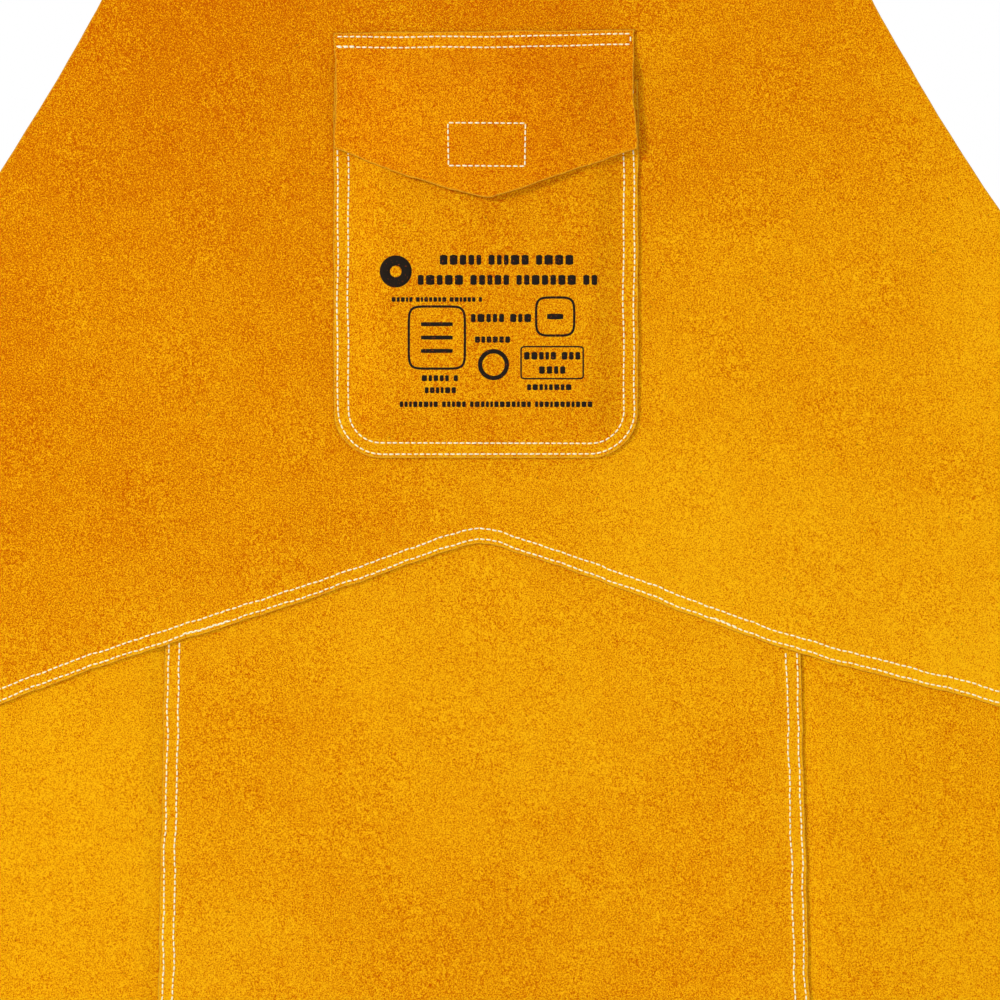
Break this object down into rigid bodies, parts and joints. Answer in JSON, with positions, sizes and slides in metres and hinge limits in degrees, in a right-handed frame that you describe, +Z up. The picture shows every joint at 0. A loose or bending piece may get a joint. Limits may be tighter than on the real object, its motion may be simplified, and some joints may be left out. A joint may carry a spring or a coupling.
{
  "type": "welding apron",
  "caption": "Bib apron of split suede leather with a flapped front pocket, lapped skirt panels, a buckled neck strap and buckled waist straps.",
  "frame": {"origin": "where the neck strap's inner face bears on the hook that the apron hangs from", "axes": "+Z up; the apron's front faces -Y, so +Y is out of its back; +X is the viewer's right"},
  "size_m": [0.735, 0.0226, 1.4268],
  "materials": {
    "suede": "napped split suede",
    "suede_side": "napped split suede, a little yellower",
    "strap_suede": "napped split suede",
    "nickel_steel": "nickel plated",
    "tape": "hook-and-loop tape"
  },
  "bodies": {
    "neck_loop": {"neck_strap_long": "strap_suede", "neck_strap_short": "strap_suede", "neck_ring_left": "nickel_steel", "neck_ring_right": "nickel_steel", "neck_buckle_frame": "nickel_steel", "neck_buckle_prong": "nickel_steel", "neck_strap_long_ring_rivet": "nickel_steel", "neck_strap_short_ring_rivet": "nickel_steel", "neck_strap_short_buckle_rivet": "nickel_steel"},
    "apron": {"bib_panel": "suede", "bib_top_facing": "suede", "centre_skirt_panel": "suede", "left_skirt_panel": "suede_side", "right_skirt_panel": "suede_side", "waist_patch_left": "suede", "waist_patch_right": "suede", "pocket_pouch": "suede", "pocket_loop_patch": "tape", "flap_heading": "suede", "neck_tab_left": "strap_suede", "neck_tab_right": "strap_suede", "waist_tab_left": "strap_suede", "waist_tab_right": "strap_suede", "waist_ring_left": "nickel_steel", "waist_ring_right": "nickel_steel", "neck_tab_left_rivet_1": "nickel_steel", "neck_tab_left_rivet_2": "nickel_steel", "neck_tab_right_rivet_1": "nickel_steel", "neck_tab_right_rivet_2": "nickel_steel", "waist_tab_left_rivet_1": "nickel_steel", "waist_tab_left_rivet_2": "nickel_steel", "waist_tab_right_rivet_1": "nickel_steel", "waist_tab_right_rivet_2": "nickel_steel"},
    "flap": {"pocket_flap": "suede", "flap_hook_patch": "tape"},
    "neck_roller": {"neck_buckle_roller": "nickel_steel"},
    "neck_keeper": {"neck_keeper": "strap_suede"},
    "waist_strap_left": {"waist_strap_left": "strap_suede", "waist_strap_left_ring_rivet": "nickel_steel"},
    "waist_strap_right": {"waist_strap_right": "strap_suede", "waist_strap_right_ring_rivet": "nickel_steel", "waist_strap_right_buckle_rivet": "nickel_steel", "waist_buckle_frame": "nickel_steel"},
    "waist_prong": {"waist_buckle_prong": "nickel_steel"},
    "waist_roller": {"waist_buckle_roller": "nickel_steel"},
    "waist_keeper": {"waist_keeper": "strap_suede"}
  },
  "joints": [
    {"name": "apron_swing", "type": "hinge", "parent": "neck_loop", "child": "apron", "pos_m": [0, 0, -0.31], "axis": [1, 0, 0], "range_deg": [-90, 90]},
    {"name": "flap_lift", "type": "hinge", "parent": "apron", "child": "flap", "pos_m": [0, -0.00495, -0.51359], "axis": [-1, 0, 0], "range_deg": [0, 160]},
    {"name": "neck_roller_spin", "type": "hinge", "parent": "neck_loop", "child": "neck_roller", "pos_m": [0.06896, 0, -0.16608], "axis": [0.9386, 0, 0.3449], "continuous": true},
    {"name": "neck_keeper_slide", "type": "slide", "parent": "neck_loop", "child": "neck_keeper", "axis": [-0.3449, 0, 0.9386], "range_m": [-0.04, 0.004]},
    {"name": "waist_strap_left_swing", "type": "hinge", "parent": "apron", "child": "waist_strap_left", "pos_m": [-0.3465, 0, -0.668], "axis": [0, 1, 0], "range_deg": [0, 150]},
    {"name": "waist_strap_right_swing", "type": "hinge", "parent": "apron", "child": "waist_strap_right", "pos_m": [0.3465, 0, -0.668], "axis": [0, -1, 0], "range_deg": [0, 150]},
    {"name": "waist_prong_swing", "type": "hinge", "parent": "waist_strap_right", "child": "waist_prong", "pos_m": [0.3465, 0, -0.888], "axis": [-1, 0, 0], "range_deg": [0, 130]},
    {"name": "waist_roller_spin", "type": "hinge", "parent": "waist_strap_right", "child": "waist_roller", "pos_m": [0.3465, 0, -0.908], "axis": [1, 0, 0], "continuous": true},
    {"name": "waist_keeper_slide", "type": "slide", "parent": "waist_strap_right", "child": "waist_keeper", "axis": [0, 0, -1], "range_m": [-0.12, 0.012]}
  ]
}
